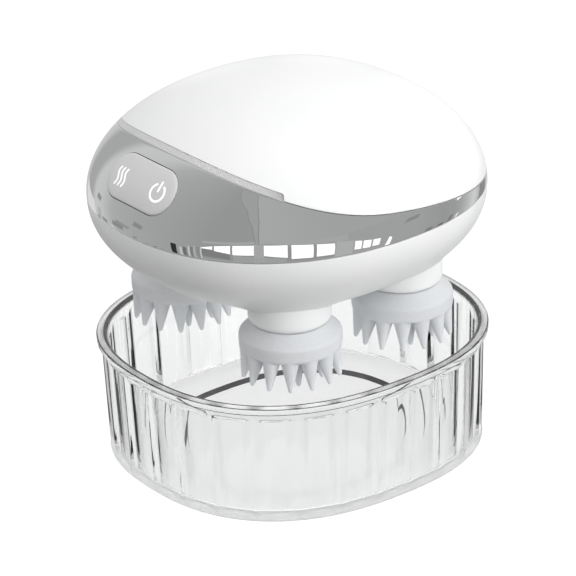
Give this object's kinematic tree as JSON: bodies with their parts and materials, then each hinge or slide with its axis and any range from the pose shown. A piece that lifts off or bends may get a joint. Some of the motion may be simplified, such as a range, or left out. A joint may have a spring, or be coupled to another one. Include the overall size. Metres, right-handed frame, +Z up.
{
  "type": "electric scalp massager",
  "caption": "Palm-size cordless scalp massager: domed shell, mirror band with a rocker button, turning silicone heads with claws, and a clear faceted cup it stands in.",
  "frame": {"origin": "centre of the cup's base, on the surface it stands on", "axes": "+Z up, the button panel faces -Y, +X to the right of someone who faces the panel"},
  "size_m": [0.1, 0.104, 0.1044],
  "materials": {
    "white_shell": "smooth gloss white",
    "chrome_band": "mirror",
    "trim_grey": "satin light grey",
    "grey_pad": "satin light grey",
    "silicone": "soft satin white",
    "collar_white": "satin white",
    "clear_acrylic": "clear polished",
    "steel": "plain",
    "bronze": "plain",
    "nylon": "natural",
    "frame_grey": "matte",
    "black_rubber": "matte",
    "board_green": "satin",
    "cell_wrap": "shrink film",
    "motor_steel": "satin",
    "gold": "polished"
  },
  "bodies": {
    "housing": {"lower_shell": "white_shell", "top_shell": "white_shell", "trim_strip": "trim_grey", "mirror_band": "chrome_band", "chassis_plate": "frame_grey", "case_gasket": "black_rubber", "case_screws": "steel", "screw_plugs": "white_shell", "lower_bushes": "bronze", "upper_bushes": "bronze", "shaft_seals": "black_rubber", "drive_axle": "steel", "reduction_axle": "steel", "motor_can": "motor_steel", "motor_screws": "steel", "battery": "cell_wrap", "battery_foam": "black_rubber", "battery_strap": "frame_grey", "control_board": "board_green", "board_screws": "steel", "tact_switches": "black_rubber", "button_frame": "nylon", "button_pin": "steel", "charge_insert": "frame_grey", "charge_contacts": "gold", "charge_board": "board_green"},
    "cup": {"clear_cup": "clear_acrylic"},
    "button": {"button_pad": "grey_pad"},
    "drive_gear": {"drive_gear": "nylon"},
    "reduction_gear": {"reduction_gear": "nylon"},
    "motor_rotor": {"motor_shaft": "steel", "motor_pinion": "bronze"},
    "front_right_massager": {"front_right_head": "silicone", "front_right_hub": "collar_white", "front_right_shaft": "steel", "front_right_gear": "nylon"},
    "front_left_massager": {"front_left_head": "silicone", "front_left_hub": "collar_white", "front_left_shaft": "steel", "front_left_gear": "nylon"},
    "back_left_massager": {"back_left_head": "silicone", "back_left_hub": "collar_white", "back_left_shaft": "steel", "back_left_gear": "nylon"},
    "back_right_massager": {"back_right_head": "silicone", "back_right_hub": "collar_white", "back_right_shaft": "steel", "back_right_gear": "nylon"}
  },
  "joints": [
    {"name": "cup_lift", "type": "slide", "parent": "housing", "child": "cup", "axis": [0, 0, 1], "range_m": [0, 0.0291]},
    {"name": "button_rock", "type": "hinge", "parent": "housing", "child": "button", "pos_m": [0, -0.04421, 0.08558], "axis": [0, 0.6488, 0.761], "range_deg": [-2, 2], "stiffness_Nm_per_rad": 0.5},
    {"name": "drive_gear_spin", "type": "hinge", "parent": "housing", "child": "drive_gear", "pos_m": [0, 0, 0.065], "axis": [0, 0, 1], "continuous": true},
    {"name": "front_right_spin", "type": "hinge", "parent": "housing", "child": "front_right_massager", "pos_m": [0.0242, -0.01856, 0.06], "axis": [0, 0, 1], "continuous": true},
    {"name": "front_left_spin", "type": "hinge", "parent": "housing", "child": "front_left_massager", "pos_m": [-0.0242, -0.01856, 0.06], "axis": [0, 0, 1], "continuous": true},
    {"name": "back_left_spin", "type": "hinge", "parent": "housing", "child": "back_left_massager", "pos_m": [-0.0242, 0.01856, 0.06], "axis": [0, 0, 1], "continuous": true},
    {"name": "back_right_spin", "type": "hinge", "parent": "housing", "child": "back_right_massager", "pos_m": [0.0242, 0.01856, 0.06], "axis": [0, 0, 1], "continuous": true},
    {"name": "reduction_gear_spin", "type": "hinge", "parent": "housing", "child": "reduction_gear", "pos_m": [-0.021, 0, 0.07], "axis": [0, 0, 1], "continuous": true},
    {"name": "motor_spin", "type": "hinge", "parent": "housing", "child": "motor_rotor", "pos_m": [-0.0083, -0.00889, 0.08], "axis": [0, 0, 1], "continuous": true}
  ],
  "couplings": [
    {"joint": "front_right_spin", "follows": "drive_gear_spin", "ratio": -1.3462},
    {"joint": "front_left_spin", "follows": "drive_gear_spin", "ratio": -1.3462},
    {"joint": "back_left_spin", "follows": "drive_gear_spin", "ratio": -1.3462},
    {"joint": "back_right_spin", "follows": "drive_gear_spin", "ratio": -1.3462},
    {"joint": "reduction_gear_spin", "follows": "drive_gear_spin", "ratio": -3.2857},
    {"joint": "motor_spin", "follows": "drive_gear_spin", "ratio": 11.265}
  ]
}
